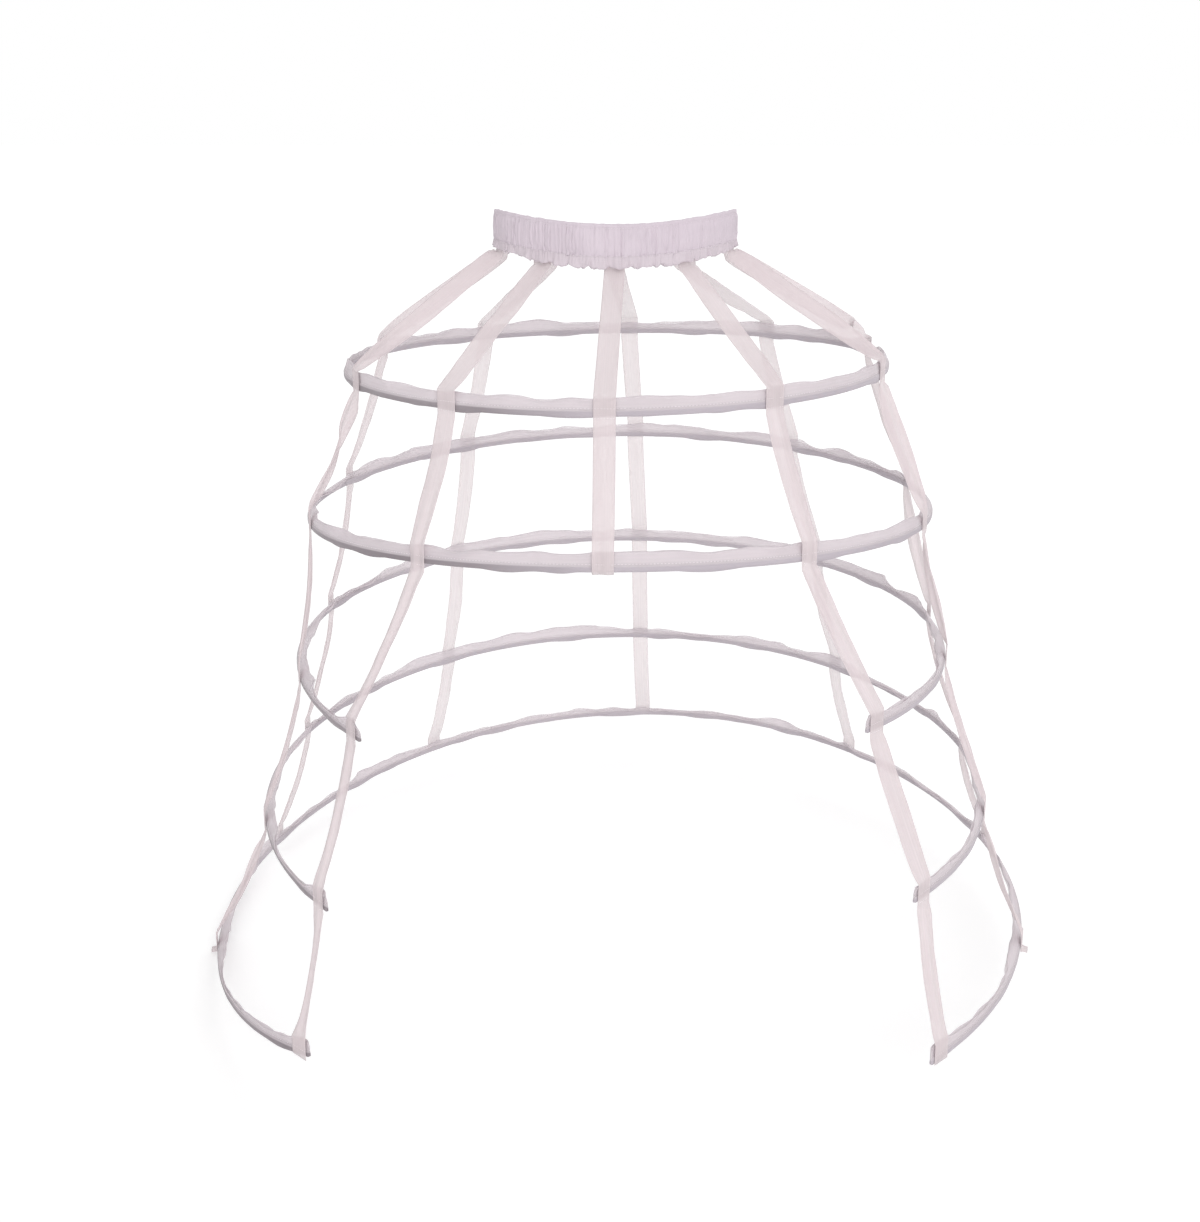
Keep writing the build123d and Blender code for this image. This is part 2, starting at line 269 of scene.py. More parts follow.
# Each strap crosses a hoop at an angle from the front, in degrees; then how the flange stands, by angle
HOOPS = [
    Hoop("hoop1", 280.5, 272.4, 150.6, (1.0, -0.9), (0.0159, -0.0117), -1.6, (
        -1.6, 30.8, 68.1, 104.4, 141.4, 177.0, -146.2, -112.5, -63.1, -32.5),
        {-174: 0.65, -168: 0.85, -162: 1.2, -156: 1.1, -144: 0.8, -138: 1.1, -132: 0.75, -114: 1.0,
         -102: 0.75, -80: 0.8, -54: 1.1, -42: 0.7, -30: 0.9, -12: 0.8, -3: 1.05, 14: 1.05, 24: 0.95,
         36: 1.05, 48: 1.0, 54: 1.15, 75: 0.9, 96: 0.6, 108: 0.6, 122: 0.9, 132: 1.0, 138: 0.85, 150: 1.1,
         159: 0.95, 168: 0.5, 176: 0.5}),
    Hoop("hoop2", 331.1, 312.4, 296.5, (4.9, 11.7), (0.0131, -0.0185), 7.2, (
        -2.2, 31.6, 66.7, 104.1, 140.9, 176.7, -145.3, -110.7, -71.4, -33.5),
        {-174: 0.8, -156: 0.8, -132: 1.05, -126: 0.8, -120: 1.0, -108: 0.65, -96: 0.3, -80: 0.7, -60: 1.1,
         -48: 0.6, -40: 0.75, -30: 0.65, -18: 0.85, -6: 1.15, 6: 1.25, 14: 1.1, 24: 1.1, 36: 0.75, 54: 0.9,
         75: 0.7, 96: 0.35, 102: 0.75, 114: 0.65, 126: 0.8, 132: 0.5, 138: 0.8, 150: 0.9, 162: 0.75,
         174: 1.0}),
    Hoop("hoop3", 347.7, 361.1, 448.9, (6.7, 0.7), (0.0111, 0.0071), 1.7, (
        43.4, 76.6, 97.6, 135.2, 176.1, -143.1, -105.5, -69.1, -45.1),
        {-173: 0.95, -161: 1.1, -149: 1.2, -137: 1.0, -125: 0.9, -113: 0.5, -107: 0.6, -101: 0.4, -89: 0.2,
         -83: 0.2, -71: 0.35, -65: 0.3, -59: 0.5, -53: 0.9, -45: 1.2, 43: 1.05, 55: 0.97, 67: 0.8, 73: 0.7,
         79: 0.25, 85: 0.3, 91: 0.6, 103: 1.0, 109: 0.7, 115: 1.0, 127: 0.95, 145: 1.0, 163: 0.9, 169: 0.8},
        end_lift=-8.2, end_tuck=0.021, end_lean=(-0.60, -0.25)),
    Hoop("hoop4", 390.6, 413.0, 604.0, (10.6, -9.6), (0.0168, 0.0134), 3.4, (
        45.9, 73.8, 98.0, 135.6, 176.7, -143.6, -106.0, -72.5, -46.4),
        {-176: 0.95, -170: 1.3, -158: 1.15, -146: 1.1, -134: 1.0, -128: 0.7, -116: 0.75, -104: 0.4, -92: 0.4,
         -80: 0.2, -72: 0.6, -62: 0.35, -56: 0.45, -50: 0.6, -46: 0.9, 46: 1.0, 52: 0.83, 58: 0.78, 64: 0.45,
         74: 0.8, 82: 0.45, 94: 0.55, 100: 0.85, 106: 0.85, 112: 0.35, 118: 0.28, 124: 0.35, 136: 1.1,
         142: 0.75, 148: 0.95, 154: 0.9, 160: 0.55, 172: 0.5},
        end_lift=-4.4, end_tuck=0.012, end_lean=(-0.60, -0.10)),
    Hoop("hoop5", 446.3, 464.9, 751.3, (4.3, -3.7), (0.0457, 0.0148), 10.4, (
        42.5, 72.0, 101.7, 136.1, 175.7, -145.0, -109.3, -78.4, -41.8),
        {-174: 0.6, -162: 0.7, -144: 0.73, -138: 0.85, -132: 1.1, -120: 0.65, -102: 1.0, -96: 0.5, -84: 0.15,
         -78: 0.5, -66: 0.3, -54: 0.5, -46: 0.8, 42: 0.9, 48: 0.75, 54: 0.9, 60: 0.6, 72: 0.35, 84: 0.65,
         96: 0.65, 102: 0.9, 108: 0.5, 120: 0.5, 126: 0.7, 132: 0.25, 144: 0.55, 150: 1.05, 156: 0.6,
         162: 0.38, 168: 0.33, 176: 0.5},
        end_lift=23.5, end_tuck=-0.011, end_lean=(-0.35, -0.10)),
]


def crossed(name):
    """The hoops that a strap crosses, from the top."""
    return [hoop for hoop in HOOPS if name in hoop.crossings]


# Node trees
class Value:
    """A node's output that takes part in arithmetic."""

    def __init__(self, tree, socket):
        self.tree = tree
        self.socket = socket

    def math(self, operation, *others):
        return self.tree.add("ShaderNodeMath", {"operation": operation}, [self, *others])

    def __add__(self, other):
        return self.math("ADD", other)

    def __sub__(self, other):
        return self.math("SUBTRACT", other)

    def __rsub__(self, other):
        return self.tree.add("ShaderNodeMath", {"operation": "SUBTRACT"}, [other, self])

    def __mul__(self, other):
        return self.math("MULTIPLY", other)

    def clamp(self):
        return self.math("MINIMUM", 1.0).math("MAXIMUM", 0.0)

    def size(self):
        return self.math("ABSOLUTE")


class Nodes:
    """A node tree whose nodes come from add()."""

    def __init__(self, tree):
        self.nodes = tree.nodes
        self.links = tree.links

    def add(self, kind, settings=None, inputs=(), output=0):
        """A new node's output: its settings first, then the values or links of its inputs."""
        node = self.nodes.new(kind)
        for key, value in (settings or {}).items():
            setattr(node, key, value)
        pairs = inputs.items() if isinstance(inputs, dict) else enumerate(inputs)
        for key, value in pairs:
            if isinstance(value, Value):
                self.links.new(value.socket, node.inputs[key])
            else:
                node.inputs[key].default_value = value
        return Value(self, node.outputs[output]) if node.outputs else None

    def seen(self):
        """1 for what the camera sees, straight, mirrored or through cloth, and 0 for other rays."""
        path = self.nodes.new("ShaderNodeLightPath").outputs
        camera, glossy, through = (Value(self, path[f"Is {kind} Ray"])
                                   for kind in ("Camera", "Glossy", "Transmission"))
        return (camera + glossy + through).clamp()


class Finish(Nodes):
    """A material: the fixed values of its shader, and what varies over the piece."""

    def __init__(self, name, **constants):
        self.material = bpy.data.materials.new(name)
        self.material.use_nodes = True
        super().__init__(self.material.node_tree)
        self.shader = self.nodes["Principled BSDF"]
        for socket, value in constants.items():
            self.shader.inputs[socket.replace("_", " ")].default_value = value

    def feed(self, **sockets):
        for key, value in sockets.items():
            self.links.new(value.socket, self.shader.inputs[key.replace("_", " ")])

    def parts(self, vector):
        """The three coordinates of a vector."""
        node = self.nodes.new("ShaderNodeSeparateXYZ")
        self.links.new(vector.socket, node.inputs[0])
        return [Value(self, output) for output in node.outputs]

    def ribbon_place(self):
        """The cloth map, then its metres along the ribbon and its share across it."""
        uv = self.add("ShaderNodeUVMap", {"uv_map": "cloth"})
        return (uv, *self.parts(uv)[:2])

    def spot(self, axis):
        """Where on the piece: metres along one axis."""
        return self.parts(self.add("ShaderNodeTexCoord", output="Object"))[axis]

    def mix(self, share, one, other):
        """One colour that turns into the other as the share goes from 0 to 1."""
        one, other = (colour if isinstance(colour, Value) else (*colour, 1) for colour in (one, other))
        return self.add("ShaderNodeMix", {"data_type": "RGBA"}, {0: share, 6: one, 7: other}, 2)

    def cloud(self, scale, detail=2.0, vector=None, stretch=None):
        """Soft noise between 0 and 1, on the piece's own coordinates or on the given ones."""
        if vector is None:
            vector = self.add("ShaderNodeTexCoord", output="Object")
        if stretch:
            vector = self.add("ShaderNodeMapping", inputs={"Vector": vector, "Scale": stretch})
        return self.add("ShaderNodeTexNoise", inputs={"Vector": vector, "Scale": scale, "Detail": detail})

    def bump(self, height, strength, distance):
        inputs = {"Strength": strength, "Distance": distance, "Height": height}
        return self.add("ShaderNodeBump", inputs=inputs)


class Organza(Finish):
    """Sheer plain weave with faint streaks and a drifting tone; depth grows towards the cage's back, where it
    paints light by making the cloth sheerer and so lighter.
    """

    def __init__(self, name, width, streaks, drifting):
        super().__init__(name, Sheen_Weight=0.25, Sheen_Roughness=0.4, Specular_IOR_Level=0.25)
        uv, along, self.across = self.ribbon_place()
        threads = (self.across * (2 * pi * width / WARP)).math("SINE")
        picks = (along * (2 * pi / WARP)).math("SINE")
        self.weave = threads * 0.5 + picks * 0.35
        self.streak = self.cloud(1.0, 2.0, uv, streaks)
        self.drift = self.cloud(drifting, 3.0)
        self.shade = (self.streak * 0.6 + self.drift * 0.7 - 0.15).clamp()
        # Painted light: depth makes the pieces at the back of the cage sheerer, and the casing's tube less
        # grey, so that they render lighter
        self.depth = ((self.spot(1) + 0.05) * 3.5).clamp()
        self.feed(Roughness=self.drift * 0.2 + 0.52,
                  Normal=self.bump(self.weave + self.streak * 1.5, 0.35, 0.00015))


def sheer_finish(name, light, dark, cover, width):
    """One ply of organza, with denser edges."""
    cloth = Organza(name, width, (6.0, 14.0, 1.0), 9.0)
    edge = (((cloth.across - 0.5).size() * 2 - (1 - 2 * SELVEDGE)) * (1 / SELVEDGE)).clamp()
    # Painted light: the back pieces are made sheerer by depth so that they render lighter
    alpha = cloth.weave * 0.07 + edge * 0.16 + cloth.streak * 0.22 + (cover - 0.11) - cloth.depth * 0.24
    cloth.feed(Base_Color=cloth.mix(cloth.shade, light, dark), Alpha=alpha.clamp())
    return cloth.material


def casing_finish(setup):
    """Two plies of organza, lighter in the flange and greyer in the tube, partly from the bone showing
    through and partly painted shade, with more painted shade at the cage's left front and painted light that
    lightens the back.
    """
    cloth = Organza("folded casing ribbon", CASING_FLAT, (9.0, 16.0, 1.0), 8.0)
    from_fold = (cloth.across - 0.5).size()
    tube = 1.0 - ((from_fold - 0.16) * 25.0).clamp()
    edge = ((from_fold - 0.465) * 40.0).clamp()
    # Painted shade: 1 at the cage's left front, where the casing's tube is painted darker
    left_front_painted_shade = (cloth.spot(0) * -9.0 - 0.2).clamp() * (cloth.spot(1) * -7.0).clamp()
    flange = cloth.mix(cloth.shade, setup.casing_light, setup.casing_dark)
    # The tube's tone: the bone seen through the cloth with painted shade; the dark grey is painted shade,
    # laid at random and most at the left front
    cased = cloth.mix((left_front_painted_shade + cloth.drift * 0.25).clamp(), setup.bone_and_painted_shade, linear(140, 130, 136))
    # Painted light: the tube's grey and the cloth's cover lessen towards the back
    share = tube * (cloth.drift * 0.3 + 0.7) * (1.0 - cloth.depth * 0.2)
    alpha = cloth.weave * 0.06 + edge * 0.2 + cloth.streak * 0.2 + tube * 0.32 + 0.44 - cloth.depth * 0.14
    cloth.feed(Base_Color=cloth.mix(share, flange, cased), Alpha=alpha.clamp())
    return cloth.material


def grained_finish(name, light, dark, noise_size, stretch, rough, relief, **constants):
    """A plain material with one grain in its tone, roughness and surface, stretched along a ribbon or not."""
    finish = Finish(name, **constants)
    grain = finish.cloud(*noise_size, finish.ribbon_place()[0] if stretch else None, stretch)
    finish.feed(Base_Color=finish.mix(grain, light, dark), Roughness=grain * rough[0] + rough[1],
                Normal=finish.bump(grain, *relief))
    return finish.material


def linear(red, green, blue):
    """Scene-linear colour from display values between 0 and 255."""
    return tuple((c / 255 / 12.92) if c / 255 <= 0.04045 else ((c / 255 + 0.055) / 1.055) ** 2.4
                 for c in (red, green, blue))


# Mesh building
def add_object(name, data):
    """A new object in the scene."""
    obj = bpy.data.objects.new(name, data)
    bpy.context.collection.objects.link(obj)
    return obj


def mesh_object(name, points, faces, uvs=()):
    """A smooth-shaded piece from points and faces, with a cloth map given corner by corner."""
    mesh = bpy.data.meshes.new(name)
    mesh.from_pydata([tuple(p) for p in points], [], faces)
    if uvs:
        layer = mesh.uv_layers.new(name="cloth")
        layer.data.foreach_set("uv", [value for face in uvs for uv in face for value in uv])
    mesh.polygons.foreach_set("use_smooth", [True] * len(faces))
    return add_object(name, mesh)


def skin(name, rows, loop=False, tube=False):
    """A cloth grid: rows follow each other along the ribbon, and each row runs across it."""
    points = [p for row in rows for p in row]
    wide = len(rows[0])
    middle = [row[wide // 2] for row in rows]
    reach = [0.0]
    for one, other in zip(middle, middle[1:] + middle[:1]):
        reach.append(reach[-1] + (other - one).length)
    spans = wide if tube else wide - 1
    faces, uvs = [], []
    for i in range(len(rows) if loop else len(rows) - 1):
        low = i * wide
        high = (i + 1) % len(rows) * wide
        for j in range(spans):
            beside = (j + 1) % wide
            faces.append((low + j, high + j, high + beside, low + beside))
            uvs.append([(reach[i], j / spans), (reach[i + 1], j / spans),
                        (reach[i + 1], (j + 1) / spans), (reach[i], (j + 1) / spans)])
    if tube and not loop:
        last = (len(rows) - 1) * wide
        faces += [tuple(range(wide)), tuple(range(last + wide - 1, last - 1, -1))]
        uvs += [[(reach[end], j / wide) for j in range(wide)] for end in (0, -2)]
    return mesh_object(name, points, faces, uvs)


def settle(obj):
    """The piece as a plain mesh, with its modifiers applied."""
    graph = bpy.context.evaluated_depsgraph_get()
    result = bpy.data.meshes.new_from_object(obj.evaluated_get(graph))
    if obj.type == "MESH":
        obj.modifiers.clear()
        obj.data = result
        return obj
    name = obj.name
    bpy.data.objects.remove(obj)
    return add_object(name, result)


def thicken(obj, thickness=CLOTH):
    """Gives a cloth grid its thickness."""
    solid = obj.modifiers.new("cloth", "SOLIDIFY")
    solid.thickness = thickness
    solid.offset = 0
    return settle(obj)


def place(obj, material, node=None):
    """Hands a finished piece to the frame, in place of a node or as an addition."""
    obj.data.materials.clear()
    obj.data.materials.append(material)
    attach(obj, "root")
    if node:
        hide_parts(node)
    return obj


def closed_piece(name, rows, material, node, loop=False):
    """A closed piece with its faces outwards, in place of a node."""
    obj = skin(name, rows, loop, tube=True)
    mesh = bmesh.new()
    mesh.from_mesh(obj.data)
    bmesh.ops.recalc_face_normals(mesh, faces=mesh.faces)
    mesh.to_mesh(obj.data)
    mesh.free()
    return place(obj, material, node)


def ripple(seed, *waves):
    """A smooth repeatable wave along a length: (wavelength, height) pairs with mixed phases."""
    def at(length):
        total = 0.0
        for index, (period, height) in enumerate(waves):
            phase = noise.noise(Vector((seed * 3.7 + index * 11.3, 0.5, length / period * 0.37))) * 5
            total += height * sin(2 * pi * length / period + phase + seed * 2.1 + index)
        return total
    return at


# Stitches
def thread_look():
    """The sewing thread, made once."""
    return bpy.data.materials.get("sewing thread") or grained_finish(
        "sewing thread", linear(246, 241, 243), linear(214, 206, 211), (2500.0, 2.0), None, (0.2, 0.55),
        (0.4, 0.0002), Sheen_Weight=0.3)


def stitch_tree():
    """Geometry nodes, made once, that sew a row of stitches along each line of a piece."""
    tree = bpy.data.node_groups.get("stitch run")
    if tree:
        return tree
    tree = bpy.data.node_groups.new("stitch run", "GeometryNodeTree")
    face = tree.interface
    face.new_socket("Geometry", in_out="INPUT", socket_type="NodeSocketGeometry")
    for name, value in (("Spacing", 0.0032), ("Stitch length", 0.0022), ("Thread", 0.00035)):
        socket = face.new_socket(name, in_out="INPUT", socket_type="NodeSocketFloat")
        socket.default_value = value
        socket.subtype = "DISTANCE"
    face.new_socket("Geometry", in_out="OUTPUT", socket_type="NodeSocketGeometry")
    nodes = Nodes(tree)
    given = nodes.nodes.new("NodeGroupInput").outputs
    line, spacing, length, thread = (Value(nodes, given[i]) for i in range(4))
    points = nodes.add("GeometryNodeResampleCurve", {"mode": "LENGTH"}, {"Curve": line, "Length": spacing})
    stitch = nodes.add("GeometryNodeMeshUVSphere", inputs={"Segments": 6, "Rings": 4, "Radius": 0.5})
    tangent = nodes.add("GeometryNodeInputTangent")
    aligned = nodes.add("FunctionNodeAlignRotationToVector", {"axis": "Z"}, {"Vector": tangent})
    scale = nodes.add("ShaderNodeCombineXYZ", inputs=[thread, thread, length])
    run = nodes.add("GeometryNodeInstanceOnPoints",
                    inputs={"Points": points, "Instance": stitch, "Rotation": aligned, "Scale": scale})
    mesh = nodes.add("GeometryNodeRealizeInstances", inputs=[run])
    painted = nodes.add("GeometryNodeSetMaterial", inputs={"Geometry": mesh, "Material": thread_look()})
    nodes.add("NodeGroupOutput", inputs=[painted])
    return tree


def sew(name, lines, spacing=0.0032, length=0.0022, loop=False):
    """A piece of stitches along lines of points."""
    curve = bpy.data.curves.new(name, "CURVE")
    curve.dimensions = "3D"
    for line in lines:
        spline = curve.splines.new("POLY")
        spline.points.add(len(line) - 1)
        for point, spot in zip(spline.points, line):
            point.co = (*spot, 1)
        spline.use_cyclic_u = loop
    obj = add_object(name, curve)
    modifier = obj.modifiers.new("stitches", "NODES")
    modifier.node_group = stitch_tree()
    sizes = {"Spacing": spacing, "Stitch length": length}
    for socket in modifier.node_group.interface.items_tree:
        if socket.name in sizes:
            modifier[socket.identifier] = sizes[socket.name]
    return place(settle(obj), thread_look())


# Hoops
def casing_angles(hoop):
    """Where the casing's sections stand; an open hoop's ribbon runs on past its ends."""
    first, last = hoop.ends()
    if not hoop.closed:
        first, last = first - hoop.turn(RAW_END), last + hoop.turn(RAW_END)
    count = ceil(hoop.length(first, last) / CASING_STEP)
    return [first + (last - first) * i / count for i in range(count + 1)]


def casing_rows(hoop, index, flange):
    """Sections of the folded ribbon (one ply, the tube round the bone, the other ply) and its length."""
    height_wave = ripple(index + 1.0, (0.067, 0.0008), (0.031, 0.0002), (0.133, 0.0007))
    lean_wave = ripple(index + 5.0, (0.075, 0.12), (0.034, 0.03), (0.160, 0.14))
    part_wave = ripple(index + 9.0, (0.058, 0.0006), (0.103, 0.0009))
    droop_wave = ripple(index + 13.0, (0.071, 0.0005), (0.160, 0.0006))
    first, last = hoop.ends()
    rows = []
    arc = 0.0
    angles = casing_angles(hoop)
    before = hoop.point(angles[0])
    for angle in angles:
        centre = hoop.point(angle)
        arc += (centre - before).length
        before = centre
        out = hoop.outward(angle)
        turn = wrap(angle)

        # Upright under a strap, leaning as the photograph shows in between
        away = min(abs(wrap(angle - c)) for c in hoop.order)
        held = smooth(max(0.0, 1 - away / hoop.turn(HELD_LENGTH)))
        least = SIDE_HELD_STAND if not hoop.closed and SIDE_FROM < abs(turn) < SIDE_TO else HELD_STAND
        stand = hoop.stand(angle)
        stand = stand + (max(stand, least) - stand) * held
        lean = acos(limit(stand, 0.05, 1.0)) + lean_wave(arc) * (1 - held)
        side_strap = abs(hoop.crossings["side_left" if turn < 0 else "side_right"])
        if not hoop.closed and abs(turn) < side_strap:
            near = smooth(min(1.0, (side_strap - abs(turn)) / SIDE_LEAN_SPAN)) * (1 - held)
            lean += (hoop.end_lean[0 if turn < 0 else 1] - lean) * near

        height = (flange + height_wave(arc)) * max(stand, 1.0) ** 0.8
        if hoop.name == "hoop1":
            height += JOINT_HEIGHT * exp(-(min(angle - first, last - angle) / hoop.turn(JOINT_LENGTH)) ** 2)
        part = (0.0004 + abs(part_wave(arc))) * (1 - 0.8 * held)
        droop = max(0.0, droop_wave(arc)) * 1.2

        def ply(side, share):
            bend = lean * (0.35 + 0.65 * share)
            sideways = side * (PLY_GAP + part * share * share)
            return (sideways * cos(bend) - height * share * sin(bend),
                    FLANGE_ROOT + height * share * cos(bend) + sideways * sin(bend))

        tube = [(0.00030, FLANGE_ROOT), (0.00105, 0.0029), (TUBE_HALF, 0.0016), (TUBE_HALF, -0.0016),
                (0.0011, -0.0027 - droop), (0.0004, -0.0031 - droop * 1.6)]
        row = [ply(1, share) for share in reversed(FLANGE_SHARES)] + tube
        row += [(-o, u) for o, u in reversed(tube)] + [ply(-1, share) for share in FLANGE_SHARES]

        # The ribbon's raw ends are pressed flat
        beyond = 0.0 if hoop.closed else max(first - angle, angle - last) / hoop.turn(RAW_END)
        near_end = limit(beyond * 2.2, 0.0, 1.0)
        flat = 1 - 0.85 * near_end ** 0.7
        rows.append([centre + out * o * flat + UP * u * (1 - 0.45 * near_end) for o, u in row])
    return rows, arc


def sweep(hoop, first, last, wide, high, step=BONE_STEP, corner=0.3):
    """Rounded rectangular sections along part of the hoop, from half their thickness and height."""
    count = max(4, ceil(hoop.length(first, last) / step))
    soft = wide * corner
    outline = [(wide, soft - high), (wide, high - soft), (wide - soft, high), (soft - wide, high),
               (-wide, high - soft), (-wide, soft - high), (soft - wide, -high), (wide - soft, -high)]
    rows = []
    for i in range(count + 1):
        angle = first + (last - first) * i / count
        centre = hoop.point(angle)
        out = hoop.outward(angle)
        rows.append([centre + out * o + UP * u for o, u in outline])
    return rows


def build_hoops(setup):
    """The casing, bone, joiner or end caps, and seam of each hoop."""
    look = hoop_looks(setup)
    bone_half = (BONE_THICKNESS / 2, BONE_HEIGHT / 2)
    sleeve_half = [half + SLEEVE_CLEAR + SLEEVE_WALL for half in bone_half]
    for index, hoop in enumerate(HOOPS):
        rows, arc = casing_rows(hoop, index, setup.flange_height)
        casing = thicken(skin(f"{hoop.name}_ribbon", rows))
        place(casing, look["casing"], f"{hoop.name}_casing")
        rows = sweep(hoop, *hoop.bone_ends(), *bone_half)
        bone = closed_piece(f"{hoop.name}_stay", rows, look["bone"], f"{hoop.name}_bone")
        if hoop.closed:
            half = hoop.turn(SLEEVE_LENGTH / 2)
            rows = sweep(hoop, hoop.joint() - half, hoop.joint() + half, *sleeve_half, SLEEVE_STEP, 0.6)
            closed_piece(f"{hoop.name}_clip", rows, look["clip"], f"{hoop.name}_joiner")
        else:
            start, end = hoop.ends()
            near = hoop.turn(TIP_INSET)
            far = hoop.turn(TIP_INSET + TIP_LENGTH)
            for side, low, high in (("right", start + near, start + far), ("left", end - far, end - near)):
                rows = sweep(hoop, low, high, *sleeve_half, SLEEVE_STEP, 0.9)
                closed_piece(f"{hoop.name}_cap_{side}", rows, look["tip"], f"{hoop.name}_tip_{side}")
        seam = [hoop.point(angle) + hoop.outward(angle) * SEAM_OUT + UP * (FLANGE_ROOT + SEAM_OUT)
                for angle in casing_angles(hoop)]
        seams = sew(f"{hoop.name}_seam", [seam])


# Straps
def band_height(x, y):
    """Height of the band's top edge: it rises to the sides and falls towards the back."""
    rise = SIDE_RISE * (x / WAIST_HALF_WIDTH) ** 2 - SIDE_RISE / 2
    return rise - y * BACK_DROP / WAIST_HALF_DEPTH


# Panel by panel below the waist: how far the ribbon turns from its lie along the hoop towards the front
# (1 faces it, less than 0 turns the edge to it). The turn is greatest halfway down, or at the share that
# follows it. With None it turns one way and then the other.
TURNS = {
    "front": [0, 0],
    "front_right": [0.3, 0.1, (0.45, 0.45), 0.75, (0.35, 0.45)],
    "side_right": [0.8, (0.7, 0.45), (-0.8, 0.55), 0.2, (-0.5, 0.45)],
    "rear_side_right": [1.0, 0.3, 0.5, 0.1, 0.3],
    "rear_right": [0.3, 0.2, 0.1, 0, 0],
    "rear": [0] * 5,
    "rear_left": [0.4, 0, 0, 0, 0],
    "rear_side_left": [0.95, 0.1, 0, 0, 0.1],
    "side_left": [(0.72, 0.45), None, (-0.35, 0.6), 0.1, (-0.62, 0.4)],
    "front_left": [0.3, 0, 0, (0.1, 0.4), (-0.3, 0.55)],
}

# Share of the ribbon's width left open by its lengthwise creases: at the waist, then panel and hoop in turn
OPEN = {
    "front": [1.0, 1.0, 1.0, 1.0, 0.98],
    "front_right": [1.0, 1.0, 0.98, 0.98, 0.85, 0.88, 1.0, 0.90, 1.0, 0.85, 1.0],
    "side_right": [1.0, 1.0, 0.95, 0.9, 0.85, 0.7, 0.7, 0.8, 0.85, 0.8, 0.8],
    "rear_side_right": [1.0, 1.0, 0.95, 0.9, 0.9, 0.85, 0.85, 0.8, 0.8, 0.8, 0.8],
    "rear_right": [1.0] * 6 + [0.95] * 5,
    "rear": [1.0] * 11,
    "rear_left": [1.0] * 6 + [0.98, 1.0, 0.95, 0.95, 0.95],
    "rear_side_left": [1.0, 1.0, 1.0, 0.9, 0.85, 0.8, 0.8, 0.75, 0.8, 0.75, 0.8],
    "side_left": [1.0, 1.0, 0.95, 0.7, 0.8, 0.6, 0.7, 0.7, 0.8, 0.6, 0.7],
    "front_left": [1.0, 1.0, 1.0, 1.0, 0.85, 0.75, 0.90, 0.85, 0.95, 0.80, 1.0],
}


def strap_stations(name, index):
    """Centre and width direction of each section, from the waist down."""
    angle = 2 * pi * index / len(STRAP_NAMES)
    x = (WAIST_HALF_WIDTH - POCKET_MIDDLE) * sin(angle)
    y = -(WAIST_HALF_DEPTH - POCKET_MIDDLE) * cos(angle)
    normal = Vector((sin(angle) / WAIST_HALF_WIDTH, -cos(angle) / WAIST_HALF_DEPTH, 0)).normalized()
    across = Vector((-normal.y, normal.x, 0))
    level = band_height(x, y) - BAND_HEIGHT
    high = SIDE_STRAP_RAISE * sin(angle) ** 6
    under_frill = Vector((x, y, level - FRILL_HEIGHT - FRILL_CLEAR + high)) + normal * high * 0.5
    rows = [(Vector((x, y, level + STRAP_TUCK)), across), (under_frill, across)]
    for hoop in crossed(name):
        turn = hoop.crossings[name]
        along = hoop.along(turn)
        centre = hoop.point(turn) + hoop.outward(turn) * STRAP_OFFSET
        rows.append((centre + UP * (CASING_FOOT + FLANGE_HEIGHT + FLANGE_CLEAR), along))
        rows.append((centre - UP * (CASING_FOOT + STRAP_TAIL), along))
    cut = 0.75 if name.startswith("front") else 1.0
    rows[-1] = (rows[-1][0] + UP * STRAP_TAIL * cut, along)
    return rows


def panel_turn(name, panel, share):
    """How far the ribbon has turned at a share of the way down a panel."""
    turn = TURNS[name][panel]
    if turn is None:
        return 0.65 * sin(pi * share / 0.4) if share < 0.4 else -0.75 * sin(pi * (share - 0.4) / 0.6) ** 0.6
    turn, peak = turn if isinstance(turn, tuple) else (turn, 0.5)
    at = share ** (log(0.5) / log(peak))
    return turn * sin(pi * at) ** (0.25 if panel == 0 and share < 0.5 else 0.6)


def strap_path(name, index):
    """Centre, width direction, turn, open width and freedom of each section; the side straps end in a tab."""
    stations = strap_stations(name, index)
    path = []
    for i, ((low, across_low), (high, across_high)) in enumerate(zip(stations, stations[1:])):
        steps = max(3, ceil((high - low).length / STRAP_STEP))
        for j in range(steps):
            share = j / steps
            turned, width, free = 0.0, OPEN[name][i], 0.0
            if i % 2:
                turned = panel_turn(name, i // 2, share)
                begin, middle, finish = OPEN[name][i - 1:i + 2]
                if share < 0.5:
                    width = begin + (middle - begin) * sin(pi * share)
                else:
                    width = middle + (finish - middle) * (1 - cos(pi / 2 * (share * 2 - 1)))
                free = sin(pi * share)
            across = across_low.lerp(across_high, smooth(share)).normalized()
            path.append((low.lerp(high, share), across, turned, width, free))
    low, across = stations[-1]
    path.append((low, across, 0.0, OPEN[name][len(stations) - 2], 0.0))
    if name.startswith("side"):
        out = Vector((across.y, -across.x, 0))
        for share in (0.3, 0.6, 1.0):
            path.append((low + out * END_TAB * share - UP * TAB_DROP * share, across, 0.0, TAB_OPEN, 0.0))
    return path


